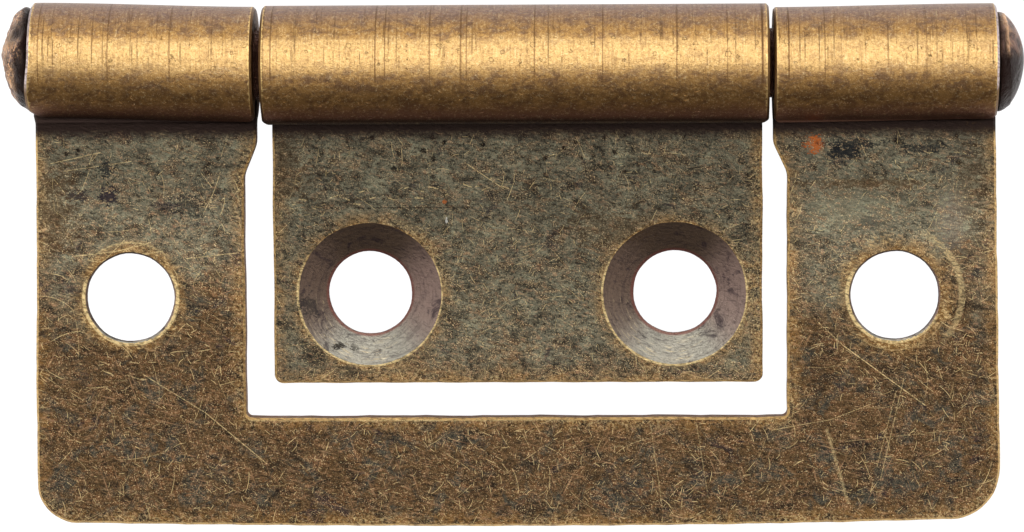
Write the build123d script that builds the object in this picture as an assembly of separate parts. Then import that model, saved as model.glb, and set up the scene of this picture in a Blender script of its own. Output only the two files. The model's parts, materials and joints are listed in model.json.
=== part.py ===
from build123d import *
import math
import os

# A flush hinge folded shut, lying on its back. One leaf is a frame of sheet brass whose two
# ends are curled into knuckles. The other leaf lies in the frame's cut-out and its top edge is
# curled into one long knuckle. A pin peened at both ends joins the three knuckles.
# Millimetres. +X runs along the pin, +Y points from the leaves' free edges to the barrel and
# +Z points at the side where the short leaf's countersinks open. The origin is under the middle
# of the whole hinge, at the barrel's lowest line. Functions work about the middle of the pin's
# axis, and a reach is a distance below that axis, towards the free edges.

# Sheet and its broken edges
sheet_thickness = 1.2
edge_chamfer = 0.12
curl_corner_radius = 0.4

# Pin and its two peened heads
pin_diameter = 3.6
head_gap = 0.1
left_head_diameter = 5.36
left_head_height = 1.6
left_head_rim = 0.48
left_head_rise = 0.16
right_head_diameter = 5.16
right_head_height = 1.36
right_head_rim = 0.15
stub_diameter = 2.8
stub_height = 0.1

# Curls: the outer knuckles grip the pin and the centre knuckle turns on it
grip_clearance = 0.03
running_clearance = 0.08
neck_radius = 1.0
outer_curl_end = 152.0
outer_tail = 0.6
centre_curl_end = 140.0
centre_tail = 1.2

# Barrel
barrel_length = 50.0
left_knuckle_length = 11.6
right_knuckle_length = 11.5
left_knuckle_gap = 0.38
right_knuckle_gap = 0.24

# Inner leaf
left_shoulder = 0.47
right_shoulder = 0.33
inner_leaf_reach = 16.62
inner_corner_radius = 0.45

# Outer leaf and the cut-out round the inner leaf
left_slot = 1.52
right_slot = 1.29
bottom_slot = 1.85
bottom_bar = 5.73
cutout_corner_radius = 0.3
tab_drop = 0.8
tab_chamfer = 1.6
tab_round = 1.2
left_flare = 0.11
right_flare = 0.35
left_bow = 0.25
right_bow = 0.4
left_corner_radius = 2.1
right_corner_radius = 2.6

# Screw holes
outer_hole_diameter = 4.6
outer_hole_left_inset = 4.95
outer_hole_right_inset = 5.2
outer_hole_drop = 0.15
inner_hole_diameter = 4.35
inner_hole_left_inset = 5.02
inner_hole_right_inset = 4.56
inner_hole_edge_inset = 4.67
countersink_diameter = 7.45
countersink_depth = 0.9
hole_edge_round = 0.12

# Worked out from the sizes above
half_sheet = sheet_thickness / 2
pin_radius = pin_diameter / 2
half_barrel = barrel_length / 2
grip_bore_radius = pin_radius + grip_clearance
running_bore_radius = pin_radius + running_clearance
barrel_radius = running_bore_radius + sheet_thickness
left_knuckle_end = left_knuckle_length - half_barrel
right_knuckle_end = half_barrel - right_knuckle_length
centre_knuckle_left = left_knuckle_end + left_knuckle_gap
centre_knuckle_right = right_knuckle_end - right_knuckle_gap
inner_leaf_left = centre_knuckle_left + left_shoulder
inner_leaf_right = centre_knuckle_right - right_shoulder
cutout_left = inner_leaf_left - left_slot
cutout_right = inner_leaf_right + right_slot
cutout_reach = inner_leaf_reach + bottom_slot
outer_leaf_reach = cutout_reach + bottom_bar
inner_hole_reach = inner_leaf_reach - inner_hole_edge_inset
outer_hole_reach = inner_hole_reach + outer_hole_drop
beyond = 2 * barrel_radius
strip_reach = outer_leaf_reach + beyond


def neck_reach(bore_radius):
    """How far below the pin's axis a leaf stops being flat and bends back to meet its curl."""
    curl_radius = bore_radius + half_sheet
    return math.sqrt(curl_radius**2 + 2 * curl_radius * neck_radius)


def neck_turn(bore_radius):
    """How far behind the leaf's plane, in degrees about the pin, the bend meets the curl."""
    return math.degrees(math.atan2(neck_radius, neck_reach(bore_radius)))


def direction(angle):
    """The unit vector at an angle in degrees from the first axis of a flat sketch."""
    turn = math.radians(angle)
    return Vector(math.cos(turn), math.sin(turn))


def round_corner(face, corner, radius):
    """A face with its corner nearest to a point made round."""
    return fillet(face.vertices().sort_by_distance(corner)[0], radius)


def leaf_section(bore_radius):
    """A leaf seen along the pin: flat, with its middle plane on the pin's axis, up to the bend
    that dips behind that plane and ends where the curl begins."""
    neck_y = -neck_reach(bore_radius)
    bend_turn = neck_turn(bore_radius) - 90

    def skin(offset):
        """One face of the sheet, offset from its middle towards the back."""
        bend = CenterArc((neck_y, -neck_radius), neck_radius - offset, 90, bend_turn)
        return bend, Line((-strip_reach, -offset), bend @ 0)

    back_bend, back = skin(half_sheet)
    front_bend, front = skin(-half_sheet)
    ends = [Line(back @ 0, front @ 0), Line(back_bend @ 1, front_bend @ 1)]
    return make_face([back_bend, back, front_bend, front] + ends)


def curl_section(bore_radius, curl_end, tail):
    """A curl seen along the pin: from the bend it passes behind, over and in front of the pin,
    to curl_end degrees from the barrel's top, and ends in a straight tail."""
    curl_radius = bore_radius + half_sheet
    curl_start = 180 + neck_turn(bore_radius)
    curl_turn = 360 + curl_end - curl_start

    def skin(offset):
        """One face of the sheet, offset from its middle towards the outside."""
        ring = CenterArc((0, 0), curl_radius + offset, curl_start, curl_turn)
        return ring, Line(ring @ 1, ring @ 1 + tail * direction(curl_end + 90))

    outer_ring, outer_line = skin(half_sheet)
    inner_ring, inner_line = skin(-half_sheet)
    ends = [Line(outer_ring @ 0, inner_ring @ 0), Line(outer_line @ 1, inner_line @ 1)]
    return make_face([outer_ring, outer_line, inner_ring, inner_line] + ends)


def sheet_solid(section, left, right):
    """A section carried along the pin from left to right."""
    return Pos(left, 0, 0) * extrude(Plane.YZ * section, right - left)


def through_block(plan):
    """A plan outline made a block that passes right through the sheet and the barrel."""
    return extrude(Plane.XY.offset(-beyond) * plan, 2 * beyond)


def outer_plan():
    """The outer leaf's plan: sides that flare a little and a free edge that bows outwards."""
    bend_y = -neck_reach(grip_bore_radius)
    left_corner = (-half_barrel - left_flare, left_bow - outer_leaf_reach)
    right_corner = (half_barrel + right_flare, right_bow - outer_leaf_reach)
    middle = ((left_corner[0] + right_corner[0]) / 2, -outer_leaf_reach)
    sides = Polyline(
        left_corner,
        (-half_barrel, bend_y),
        (-half_barrel, beyond),
        (half_barrel, beyond),
        (half_barrel, bend_y),
        right_corner,
    )
    left_edge = TangentArc(middle, left_corner, tangent=(-1, 0))
    right_edge = TangentArc(middle, right_corner, tangent=(1, 0))
    plan = make_face([sides, left_edge, right_edge])
    plan = round_corner(plan, left_corner, left_corner_radius)
    return round_corner(plan, right_corner, right_corner_radius)


def cutout_plan():
    """The cut-out round the inner leaf, as narrow at its top as the space between the knuckles."""
    tab_top = -(neck_reach(grip_bore_radius) + tab_drop)
    tab_bottom = tab_top - tab_chamfer
    left = [(left_knuckle_end, tab_top), (cutout_left, tab_bottom), (cutout_left, -cutout_reach)]
    right = [(right_knuckle_end, tab_top), (cutout_right, tab_bottom), (cutout_right, -cutout_reach)]
    top = [(right_knuckle_end, beyond), (left_knuckle_end, beyond)]
    plan = make_face(Polyline(*left, *reversed(right), *top, close=True))
    for corner, radius in zip(left + right, 2 * [tab_round, tab_round, cutout_corner_radius]):
        plan = round_corner(plan, corner, radius)
    return plan


def inner_plan():
    """The inner leaf's plan, which runs straight up to its narrower join with the knuckle."""
    left_corner = (inner_leaf_left, -inner_leaf_reach)
    right_corner = (inner_leaf_right, -inner_leaf_reach)
    top = [(inner_leaf_right, beyond), (inner_leaf_left, beyond)]
    plan = make_face(Polyline(left_corner, right_corner, *top, close=True))
    plan = round_corner(plan, left_corner, inner_corner_radius)
    return round_corner(plan, right_corner, inner_corner_radius)


def curl_joint(bore_radius):
    """The plane through the pin's axis on which a leaf's bend ends and its curl begins."""
    return Plane(origin=(0, 0, 0), z_dir=Plane.YZ.from_local_coords(direction(neck_turn(bore_radius) - 90)))


def break_cut_edges(sheet, normal, joint):
    """A piece of sheet with the edges of its outline chamfered, apart from those on the joint
    between leaf and curl. The outline's walls stand along the normal."""

    def is_cut_wall(face):
        if face.geom_type == GeomType.CYLINDER:
            return abs(face.axis_of_rotation.direction.dot(normal)) > 0.999
        return face.geom_type == GeomType.PLANE and abs(face.normal_at().dot(normal)) < 1e-6

    def is_sharp(edge):
        across = edge.geom_type == GeomType.LINE and abs(edge.tangent_at(0).dot(normal)) > 0.999
        joined = all(abs(joint.to_local_coords(edge @ end).Z) < 1e-6 for end in (0, 1))
        return not across and not joined

    return chamfer(sheet.faces().filter_by(is_cut_wall).edges().filter_by(is_sharp), edge_chamfer)


def make_knuckle(bore_radius, curl_end, tail, left, right):
    """A curl from left to right along the pin, with the corners of its free end made round."""
    knuckle = sheet_solid(curl_section(bore_radius, curl_end, tail), left, right)
    across = direction(curl_end)
    free_end = (bore_radius + half_sheet) * across + tail * direction(curl_end + 90)
    for x in (left, right):
        corner = Plane.YZ.offset(x).from_local_coords(free_end)
        knuckle = fillet(knuckle.edges().sort_by_distance(corner)[0], curl_corner_radius)
    return break_cut_edges(knuckle, Plane.YZ.from_local_coords(across), curl_joint(bore_radius))


def screw_hole(x, reach, diameter, side):
    """A countersunk hole, which opens at +Z where side is 1 and at -Z where side is -1."""
    cone = Cone(diameter / 2, countersink_diameter / 2, countersink_depth)
    sink = Pos(0, 0, half_sheet - countersink_depth / 2) * cone
    if side < 0:
        sink = Rot(180, 0, 0) * sink
    return Pos(x, -reach, 0) * (sink + Cylinder(diameter / 2, 2 * sheet_thickness))


def round_narrow_rims(leaf, diameter, face_z):
    """A leaf with its holes' rims worn round on the face at face_z, where they are narrow."""
    rims = leaf.edges().filter_by(GeomType.CIRCLE).filter_by(
        lambda edge: abs(edge.radius - diameter / 2) < 1e-6 and abs(edge.center().Z - face_z) < 1e-6
    )
    return fillet(rims, hole_edge_round)


def make_outer_leaf():
    """The frame-shaped leaf with the two outer knuckles, countersunk from the back."""
    leaf = sheet_solid(leaf_section(grip_bore_radius), -barrel_length, barrel_length)
    leaf = (leaf & through_block(outer_plan())) - through_block(cutout_plan())
    leaf = break_cut_edges(leaf, Vector(0, 0, 1), curl_joint(grip_bore_radius))
    for x in (outer_hole_left_inset - half_barrel, half_barrel - outer_hole_right_inset):
        leaf -= screw_hole(x, outer_hole_reach, outer_hole_diameter, -1)
    leaf = round_narrow_rims(leaf, outer_hole_diameter, half_sheet)
    for left, right in ((-half_barrel, left_knuckle_end), (right_knuckle_end, half_barrel)):
        leaf += make_knuckle(grip_bore_radius, outer_curl_end, outer_tail, left, right)
    return leaf


def make_inner_leaf():
    """The leaf that lies in the cut-out, with the centre knuckle, countersunk from the front."""
    leaf = sheet_solid(leaf_section(running_bore_radius), -half_barrel, half_barrel)
    leaf &= through_block(inner_plan())
    leaf = break_cut_edges(leaf, Vector(0, 0, 1), curl_joint(running_bore_radius))
    for x in (inner_leaf_left + inner_hole_left_inset, inner_leaf_right - inner_hole_right_inset):
        leaf -= screw_hole(x, inner_hole_reach, inner_hole_diameter, 1)
    leaf = round_narrow_rims(leaf, inner_hole_diameter, -half_sheet)
    knuckle_ends = (centre_knuckle_left, centre_knuckle_right)
    return leaf + make_knuckle(running_bore_radius, centre_curl_end, centre_tail, *knuckle_ends)


def peened_head(diameter, height, rim):
    """A head that stands on the plane x = 0: a short rim under a dome, turned about X."""
    radius = diameter / 2
    dome_height = height - rim
    dome_radius = (radius**2 + dome_height**2) / (2 * dome_height)
    dome_angle = math.degrees(math.atan2(radius, dome_radius - dome_height))
    profile = make_face([
        Polyline((height, 0), (0, 0), (0, radius), (rim, radius)),
        CenterArc((height - dome_radius, 0), dome_radius, 0, dome_angle),
    ])
    return revolve(profile, Axis.X)


def make_pin():
    """The pin: a shank, a plain left dome peened off centre, a right dome with a raised stub."""
    base = half_barrel + head_gap
    along_x = Rot(0, 90, 0)
    shank = along_x * Cylinder(pin_radius, 2 * base)
    left_head = mirror(peened_head(left_head_diameter, left_head_height, left_head_rim), Plane.YZ)
    right_head = peened_head(right_head_diameter, right_head_height - stub_height, right_head_rim)
    stub = Pos(stub_height, 0, 0) * right_head & along_x * Cylinder(stub_diameter / 2, 4 * right_head_height)
    return shank + Pos(-base, left_head_rise, 0) * left_head + Pos(base, 0, 0) * (right_head + stub)


def place(solid):
    """A solid moved from the middle of the pin's axis to the hinge's own frame."""
    middle_x = (left_head_height - right_head_height) / 2
    axis_y = (outer_leaf_reach - barrel_radius) / 2
    return Pos(middle_x, axis_y, barrel_radius) * solid


os.makedirs("parts", exist_ok=True)
export_step(place(make_outer_leaf()), "parts/outer_leaf.step")
export_step(place(make_inner_leaf()), "parts/inner_leaf.step")
export_step(place(make_pin()), "parts/hinge_pin.step")
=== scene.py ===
import json
import math
import bmesh
import bpy
import numpy as np
from mathutils import Matrix, Vector
from mathutils.kdtree import KDTree


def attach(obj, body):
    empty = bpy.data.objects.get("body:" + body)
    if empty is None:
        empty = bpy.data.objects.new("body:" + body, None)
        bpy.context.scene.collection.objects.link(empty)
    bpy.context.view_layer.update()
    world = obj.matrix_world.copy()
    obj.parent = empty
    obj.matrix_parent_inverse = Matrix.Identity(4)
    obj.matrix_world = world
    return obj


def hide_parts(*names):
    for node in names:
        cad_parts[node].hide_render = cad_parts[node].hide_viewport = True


# A folded flush hinge in antiqued brass, lying on a pale floor and seen from above. The leaves
# are the CAD meshes on a finer grid, bent and worn a little, and the pin's heads are hammered.
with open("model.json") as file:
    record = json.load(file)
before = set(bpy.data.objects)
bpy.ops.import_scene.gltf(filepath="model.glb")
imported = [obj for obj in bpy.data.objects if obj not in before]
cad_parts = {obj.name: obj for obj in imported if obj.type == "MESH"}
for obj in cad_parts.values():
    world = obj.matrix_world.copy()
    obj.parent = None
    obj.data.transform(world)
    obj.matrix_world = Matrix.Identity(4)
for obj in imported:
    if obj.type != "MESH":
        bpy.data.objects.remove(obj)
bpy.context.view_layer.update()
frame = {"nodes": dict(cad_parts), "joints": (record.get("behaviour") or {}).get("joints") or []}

MM = 0.001

# Hinge, in the frame's own millimetres
AXIS_Y = frame["joints"][0]["pos_m"][1] / MM
AXIS_Z = frame["joints"][0]["pos_m"][2] / MM
BARREL_RADIUS = 3.08
BARREL_END = 25.0

# View
CAMERA_DISTANCE = 230 * MM
CAMERA_LENS = 154.8
SENSOR_WIDTH = 36.0
CAMERA_TILT = math.radians(5.5)
CAMERA_YAW = math.radians(1.6)
CAMERA_ROLL = math.radians(0.35)
CAMERA_TARGET = Vector((0.0, 0.0, 3.08)) * MM

# Wear
STREAK_ANGLE = 0.25

# Light
LAMP_DISTANCE = 0.6
WORLD_STRENGTH = 0.25
FLOOR_WHITE = 1.1
FLOOR_WHITE_SHARE = 0.92

scene = bpy.context.scene
scene.view_settings.view_transform = "Standard"


def smooth(low, high, value):
    """0 below low, 1 above high and a smooth step between, for numbers and arrays."""
    share = np.clip((value - low) / (high - low), 0, 1)
    return share * share * (3 - 2 * share)


def linear(red, green, blue):
    """A colour given as eight-bit display values, in linear light."""

    def channel(value):
        value /= 255
        return value / 12.92 if value <= 0.04045 else ((value + 0.055) / 1.055) ** 2.4

    return (channel(red), channel(green), channel(blue), 1)


# Stage


def add_camera():
    """The camera looks down on the leaves, leaning towards the barrel's side and a little to the right."""
    away = Vector((math.sin(CAMERA_YAW), math.sin(CAMERA_TILT), 0))
    away.z = math.sqrt(1 - away.x**2 - away.y**2)
    data = bpy.data.cameras.new("view")
    data.lens = CAMERA_LENS
    data.sensor_width = SENSOR_WIDTH
    data.clip_start = 0.01
    camera = bpy.data.objects.new("view", data)
    backward = away.normalized()
    right = Vector((0, 1, 0)).cross(backward).normalized()
    up = backward.cross(right)
    turn = Matrix((right, up, backward)).transposed().to_4x4()
    roll = Matrix.Rotation(-CAMERA_ROLL, 4, "Z")
    camera.matrix_world = Matrix.Translation(CAMERA_TARGET + backward * CAMERA_DISTANCE) @ turn @ roll
    scene.collection.objects.link(camera)
    scene.camera = camera


def add_floor():
    """A white floor, whose own shading shows the camera only a share of the shadow."""
    size = 4.0
    mesh = bpy.data.meshes.new("floor")
    corners = [(-size, -size, 0), (size, -size, 0), (size, size, 0), (-size, size, 0)]
    mesh.from_pydata(corners, [], [(0, 1, 2, 3)])
    floor = bpy.data.objects.new("floor", mesh)
    scene.collection.objects.link(floor)
    material = bpy.data.materials.new("floor_paper")
    material.use_nodes = True
    graph = Graph(material.node_tree)
    shader = material.node_tree.nodes["Principled BSDF"]
    shader.inputs["Base Color"].default_value = (0.9, 0.9, 0.9, 1)
    shader.inputs["Roughness"].default_value = 0.9
    shader.inputs["Specular IOR Level"].default_value = 0.0
    white = graph.node("ShaderNodeEmission", Strength=FLOOR_WHITE)
    seen = graph.node("ShaderNodeLightPath").outputs["Is Camera Ray"]
    mixed = graph.node("ShaderNodeMixShader")
    graph.put(mixed.inputs[0], graph.times(seen, FLOOR_WHITE_SHARE))
    graph.put(mixed.inputs[1], shader.outputs[0])
    graph.put(mixed.inputs[2], white.outputs[0])
    graph.put(material.node_tree.nodes["Material Output"].inputs["Surface"], mixed.outputs[0])
    mesh.materials.append(material)


def add_softbox(name, heading, low, high, width, radiance):
    """A flat lamp that faces the object and spans the angles low to high from the zenith towards
    a heading, with the radiance that a reflection of it shows."""
    middle = math.radians((low + high) / 2)
    height = 2 * LAMP_DISTANCE * math.tan(math.radians(high - low) / 2)
    place = Vector((math.sin(middle) * heading[0], math.sin(middle) * heading[1], math.cos(middle)))
    data = bpy.data.lights.new(name, "AREA")
    data.shape = "RECTANGLE"
    data.size = width
    data.size_y = height
    data.energy = radiance * math.pi * width * height
    lamp = bpy.data.objects.new(name, data)
    turn = place.to_track_quat("Z", "Y").to_matrix().to_4x4()
    lamp.matrix_world = Matrix.Translation(place * LAMP_DISTANCE) @ turn
    scene.collection.objects.link(lamp)


def add_lamps():
    """A large softbox above the barrel's side, with dimmer ones round it."""
    add_softbox("softbox", (0, 1), -2, 49, 0.7, 2.4)
    add_softbox("far_fill", (0, 1), 52, 88, 0.9, 1.05)
    add_softbox("near_fill", (0, -1), 4, 42, 0.8, 0.5)
    add_softbox("left_fill", (-1, 0), 58, 88, 0.9, 1.4)
    add_softbox("right_fill", (1, 0), 58, 88, 0.9, 1.4)


def add_world():
    world = bpy.data.worlds.new("studio")
    scene.world = world
    world.use_nodes = True
    background = world.node_tree.nodes["Background"]
    background.inputs["Color"].default_value = (1, 1, 1, 1)
    background.inputs["Strength"].default_value = WORLD_STRENGTH


# Shader graphs


class Graph:
    """A node tree with one short method for each kind of node that the materials use."""

    def __init__(self, tree):
        self.tree = tree

    def put(self, socket, value):
        """A value or another node's output set on a socket."""
        if isinstance(value, bpy.types.NodeSocket):
            self.tree.links.new(value, socket)
        else:
            socket.default_value = value

    def node(self, kind, settings=None, **inputs):
        """A node of a kind, with its settings and its inputs by name."""
        made = self.tree.nodes.new(kind)
        for name, value in (settings or {}).items():
            setattr(made, name, value)
        for name, value in inputs.items():
            self.put(made.inputs[name.replace("_", " ")], value)
        return made

    def math(self, operation, first, second=0.0, third=0.0):
        made = self.node("ShaderNodeMath", {"operation": operation})
        for socket, value in zip(made.inputs, (first, second, third)):
            self.put(socket, value)
        return made.outputs[0]

    def times(self, first, second):
        return self.math("MULTIPLY", first, second)

    def plus(self, first, second):
        return self.math("ADD", first, second)

    def times_plus(self, first, second, third):
        return self.math("MULTIPLY_ADD", first, second, third)

    def less(self, first, second):
        return self.math("SUBTRACT", first, second)

    def most(self, first, second):
        return self.math("MAXIMUM", first, second)

    def least(self, first, second):
        return self.math("MINIMUM", first, second)

    def size(self, value):
        return self.math("ABSOLUTE", value)

    def vector(self, operation, first, second=(0, 0, 0)):
        made = self.node("ShaderNodeVectorMath", {"operation": operation})
        self.put(made.inputs[0], first)
        self.put(made.inputs[1], second)
        return made.outputs["Vector"]

    def scaled(self, vector, x, y, z):
        return self.vector("MULTIPLY", vector, (x, y, z))

    def length(self, vector):
        made = self.node("ShaderNodeVectorMath", {"operation": "LENGTH"}, Vector=vector)
        return made.outputs["Value"]

    def mark(self, name):
        """A mask that the mesh carries under a name."""
        return self.node("ShaderNodeAttribute", {"attribute_name": name}).outputs["Fac"]

    def stretched(self, vector, share):
        """A vector times a number that may change over the surface."""
        return self.node("ShaderNodeVectorMath", {"operation": "SCALE"}, Vector=vector, Scale=share).outputs[0]

    def turned(self, vector, angle):
        """A vector turned about z."""
        settings = {"rotation_type": "Z_AXIS"}
        return self.node("ShaderNodeVectorRotate", settings, Vector=vector, Angle=angle).outputs[0]

    def parts(self, vector):
        return self.node("ShaderNodeSeparateXYZ", Vector=vector).outputs

    def joined(self, x, y, z):
        return self.node("ShaderNodeCombineXYZ", X=x, Y=y, Z=z).outputs[0]

    def ranged(self, value, low, high, to_low=0.0, to_high=1.0):
        """A smooth step from to_low, where the value is low, to to_high, where it is high."""
        made = self.node("ShaderNodeMapRange", {"interpolation_type": "SMOOTHSTEP"})
        for socket, setting in zip(made.inputs, (value, low, high, to_low, to_high)):
            self.put(socket, setting)
        return made.outputs[0]

    def noise(self, vector, scale, detail=3.0, roughness=0.6, distortion=0.0):
        kind = "ShaderNodeTexNoise"
        made = self.node(kind, Vector=vector, Scale=scale, Detail=detail, Roughness=roughness, Distortion=distortion)
        return made.outputs[0]

    def mixed(self, share, first, second):
        """Two colours mixed by a share of the second."""
        made = self.node("ShaderNodeMix", {"data_type": "RGBA"})
        self.put(made.inputs[0], share)
        self.put(made.inputs[6], first)
        self.put(made.inputs[7], second)
        return made.outputs[2]

    def add_bump(self, shader, height, strength, reach):
        """A height from 0 to 1 as bumps of a reach in millimetres."""
        bump = self.node("ShaderNodeBump", Height=height, Strength=strength, Distance=reach * MM)
        self.put(shader.inputs["Normal"], bump.outputs[0])

    def call(self, group, **inputs):
        """A shared node group with its inputs, as its outputs."""
        made = self.node("ShaderNodeGroup", {"node_tree": group}, **inputs)
        return made.outputs


def new_material(name):
    """An empty material's graph, its shader and the place on the piece in millimetres."""
    material = bpy.data.materials.new(name)
    material.use_nodes = True
    graph = Graph(material.node_tree)
    graph.material = material
    place = graph.scaled(graph.node("ShaderNodeTexCoord").outputs["Object"], 1 / MM, 1 / MM, 1 / MM)
    return graph, material.node_tree.nodes["Principled BSDF"], place


def new_group(name, inputs, outputs):
    """An empty node group, with its graph, its inputs by name and its output node."""
    tree = bpy.data.node_groups.new(name, "ShaderNodeTree")
    for title, default in inputs.items():
        kind = "NodeSocketVector" if default is None else "NodeSocketFloat"
        socket = tree.interface.new_socket(title, in_out="INPUT", socket_type=kind)
        if default is not None:
            socket.default_value = default
    for title in outputs:
        tree.interface.new_socket(title, in_out="OUTPUT", socket_type="NodeSocketFloat")
    return Graph(tree), tree.nodes.new("NodeGroupInput").outputs, tree.nodes.new("NodeGroupOutput").inputs


def hairline_group():
    """Short straight scratches, one to a cell of a flat pattern, each with its own angle and length.
    Widths and lengths are in cells."""
    inputs = {"Vector": None, "Density": 1.0, "Width": 0.04, "Length": 0.4, "Share": 0.5,
              "Angle": 0.0, "Spread": 6.3, "Bend": 1.0, "Seed": 0.0}
    graph, given, out = new_group("hairlines", inputs, ("Mask",))
    place = graph.stretched(given["Vector"], given["Density"])
    place = graph.vector("ADD", place, graph.joined(given["Seed"], graph.times(given["Seed"], 0.37), 0.0))
    cells = graph.node("ShaderNodeTexVoronoi", {"voronoi_dimensions": "2D"}, Vector=place, Scale=1.0)
    random = graph.parts(cells.outputs["Color"])
    step = graph.parts(graph.vector("SUBTRACT", place, cells.outputs["Position"]))
    turn = graph.times_plus(graph.less(random[0], 0.5), given["Spread"], given["Angle"])
    cos, sin = graph.math("COSINE", turn), graph.math("SINE", turn)
    along = graph.plus(graph.times(step[0], cos), graph.times(step[1], sin))
    across = graph.less(graph.times(step[0], sin), graph.times(step[1], cos))
    bend = graph.times(graph.less(random[2], 0.5), graph.times(along, along))
    bend = graph.times(bend, given["Bend"])
    across = graph.size(graph.plus(across, bend))
    thin = graph.ranged(across, given["Width"], 0.0)
    reach = graph.times(given["Length"], graph.times_plus(random[2], 0.7, 0.3))
    short = graph.ranged(graph.size(along), reach, graph.times(reach, 0.6))
    kept = graph.math("LESS_THAN", random[1], given["Share"])
    depth = graph.times(kept, graph.times_plus(random[0], 0.7, 0.3))
    graph.put(out["Mask"], graph.times(graph.times(thin, short), depth))
    return graph.tree


def barrel_group():
    """Where a point lies about the barrel: the angle and the millimetres round it from its top line,
    how surely it is on the barrel and not on a leaf, and how surely on a leaf's bend behind a curl."""
    graph, given, out = new_group("barrel_place", {"Vector": None}, ("Around", "Angle", "Barrel", "Bend"))
    place = graph.parts(given["Vector"])
    up = graph.less(place[1], AXIS_Y)
    front = graph.less(place[2], AXIS_Z)
    angle = graph.math("ARCTAN2", front, up)
    graph.put(out["Angle"], angle)
    graph.put(out["Around"], graph.times(angle, BARREL_RADIUS))
    graph.put(out["Barrel"], graph.ranged(up, -3.12, -2.85))
    before = graph.times(graph.ranged(front, 0.85, 0.7), graph.ranged(front, -0.6, -0.3))
    beneath = graph.times(graph.ranged(up, -3.4, -3.1), graph.ranged(up, -1.6, -1.9))
    graph.put(out["Bend"], graph.times(before, beneath))
    return graph.tree


def stroke_group():
    """One scratch from a point to another, in the leaves' plane; two of them are a painted highlight."""
    inputs = {"Vector": None, "From": None, "To": None, "Width": 0.05, "Depth": 1.0}
    graph, given, out = new_group("stroke", inputs, ("Mask",))
    step = graph.vector("SUBTRACT", given["Vector"], given["From"])
    span = graph.vector("SUBTRACT", given["To"], given["From"])
    along = graph.node("ShaderNodeVectorMath", {"operation": "DOT_PRODUCT"})
    graph.put(along.inputs[0], step)
    graph.put(along.inputs[1], span)
    square = graph.node("ShaderNodeVectorMath", {"operation": "DOT_PRODUCT"})
    graph.put(square.inputs[0], span)
    graph.put(square.inputs[1], span)
    share = graph.math("DIVIDE", along.outputs["Value"], square.outputs["Value"])
    share = graph.least(graph.most(share, 0.0), 1.0)
    away = graph.length(graph.vector("SUBTRACT", step, graph.stretched(span, share)))
    graph.put(out["Mask"], graph.ranged(away, given["Width"], 0.0, 0.0, given["Depth"]))
    return graph.tree


# Colours of the brass as it is seen under the softbox
WORN_GOLD = linear(244, 206, 136)
PALE_GOLD = linear(240, 214, 164)
CREST_BRASS = linear(206, 168, 110)
WARM_BRASS = linear(180, 138, 82)
OLIVE_BRASS = linear(148, 110, 64)
UMBER_BRASS = linear(104, 74, 46)
MAUVE_BROWN = linear(130, 100, 74)
MAUVE_GREY = linear(146, 122, 116)
SLATE_GREEN = linear(118, 114, 95)
PALE_GREEN = linear(148, 146, 121)
OLIVE_PATINA = linear(98, 74, 46)
RUSSET_PATINA = linear(132, 90, 56)
SLATE_PATINA = linear(74, 76, 68)
DARK_PATINA_AND_SHADE = linear(30, 24, 21)
PLUM_STAIN = linear(50, 41, 48)
INK_STAIN = linear(36, 38, 40)
SHEEN_GREY = linear(170, 156, 138)
COPPER_HAIR = linear(192, 148, 110)
SEAM_SHADE = linear(54, 41, 36)
CONE_HIGHLIGHT_GREY = linear(158, 153, 139)
CONE_SHADE_BROWN = linear(98, 80, 66)
CONE_MAUVE = linear(144, 121, 111)
COPPER_EDGE = linear(170, 122, 96)
LAVENDER_HIGHLIGHT = linear(206, 192, 196)
PIN_BROWN = linear(146, 112, 98)
PIN_GOLD = linear(196, 154, 112)
CURL_SHADE = linear(122, 84, 70)
PIN_GLINT = linear(255, 206, 160)
PIN_SHADE = linear(48, 33, 28)
RED_RIM = linear(120, 74, 66)
RUST = linear(190, 104, 50)
SCRATCH_AND_HIGHLIGHT_GOLD = linear(255, 226, 164)
RUBBED_BROWN = linear(158, 114, 60)
BORE_SHADE = linear(58, 42, 36)
LINT = linear(214, 210, 200)


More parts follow.
